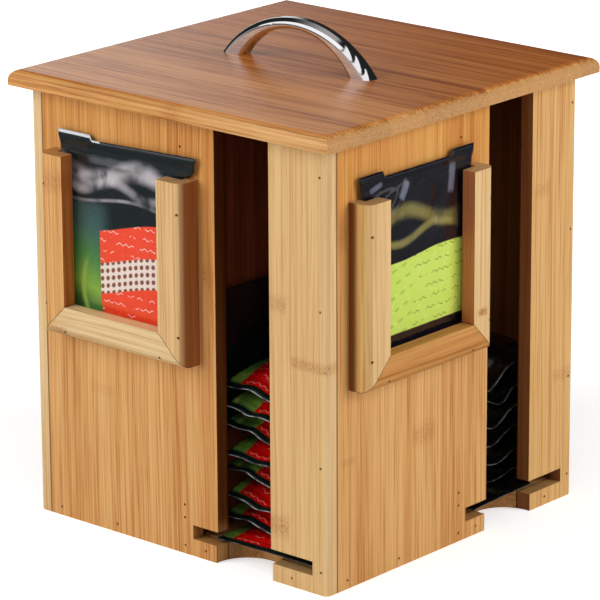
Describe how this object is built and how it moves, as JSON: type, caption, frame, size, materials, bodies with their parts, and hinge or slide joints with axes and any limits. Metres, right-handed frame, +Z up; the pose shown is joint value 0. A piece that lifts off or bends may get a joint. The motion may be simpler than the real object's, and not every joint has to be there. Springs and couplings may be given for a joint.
{
  "type": "tea bag organizer box",
  "caption": "Square bamboo box with a lift-off lid and bow handle; tall slots and low gaps hand out tea sachets from inner compartments, and a moulded pocket on each side shows a sample.",
  "frame": {"origin": "centre of the box's footprint, on the surface it stands on", "axes": "+Z up; -Y is the front side, +X the right side; the handle runs along X"},
  "size_m": [0.1944, 0.1944, 0.2273],
  "materials": {
    "bamboo": "satin lacquered bamboo",
    "bamboo_pale": "satin lacquered pale bamboo",
    "bamboo_inner": "plain sanded bamboo",
    "bamboo_lid": "satin lacquered bamboo, a little redder",
    "brad_steel": "dull steel brads",
    "bow_chrome": "polished chrome plate",
    "screw_steel": "zinc plated",
    "foil_green": "glossy dark green foil laminate",
    "foil_black": "glossy black foil laminate"
  },
  "bodies": {
    "box": {"base_plate": "bamboo", "wide_panel_front": "bamboo", "wide_panel_right": "bamboo", "wide_panel_back": "bamboo", "wide_panel_left": "bamboo", "narrow_panel_front": "bamboo_pale", "narrow_panel_right": "bamboo_pale", "narrow_panel_back": "bamboo_pale", "narrow_panel_left": "bamboo_pale", "divider_front": "bamboo_inner", "divider_right": "bamboo_inner", "divider_back": "bamboo_inner", "divider_left": "bamboo_inner", "pocket_left_stile_front": "bamboo_pale", "pocket_right_stile_front": "bamboo_pale", "pocket_rail_front": "bamboo_pale", "pocket_left_stile_right": "bamboo_pale", "pocket_right_stile_right": "bamboo_pale", "pocket_rail_right": "bamboo_pale", "pocket_left_stile_back": "bamboo_pale", "pocket_right_stile_back": "bamboo_pale", "pocket_rail_back": "bamboo_pale", "pocket_left_stile_left": "bamboo_pale", "pocket_right_stile_left": "bamboo_pale", "pocket_rail_left": "bamboo_pale", "body_brads": "brad_steel", "pocket_brads": "brad_steel", "sachet_stack_front": "foil_green", "sachet_stack_right": "foil_black", "leaning_sachet_front": "foil_green"},
    "lid": {"lid_board": "bamboo_lid", "lid_block_front": "bamboo_pale", "lid_block_right": "bamboo_pale", "lid_block_back": "bamboo_pale", "lid_block_left": "bamboo_pale", "lid_block_brads": "brad_steel", "handle": "bow_chrome", "handle_screws": "screw_steel"},
    "display_sachet_front": {"display_sachet_front": "foil_green"},
    "display_sachet_right": {"display_sachet_right": "foil_black"},
    "ready_sachet_front": {"ready_sachet_front": "foil_green"},
    "ready_sachet_right": {"ready_sachet_right": "foil_black"}
  },
  "joints": [
    {"name": "lid_lift", "type": "slide", "parent": "box", "child": "lid", "axis": [0, 0, 1], "range_m": [0, 0.06]},
    {"name": "display_sachet_front_slide", "type": "slide", "parent": "box", "child": "display_sachet_front", "axis": [0, 0, 1], "range_m": [0, 0.014]},
    {"name": "display_sachet_right_slide", "type": "slide", "parent": "box", "child": "display_sachet_right", "axis": [0, 0, 1], "range_m": [0, 0.014]},
    {"name": "ready_sachet_front_slide", "type": "slide", "parent": "box", "child": "ready_sachet_front", "axis": [0, -1, 0], "range_m": [0, 0.078]},
    {"name": "ready_sachet_right_slide", "type": "slide", "parent": "box", "child": "ready_sachet_right", "axis": [1, 0, 0], "range_m": [0, 0.078]}
  ]
}
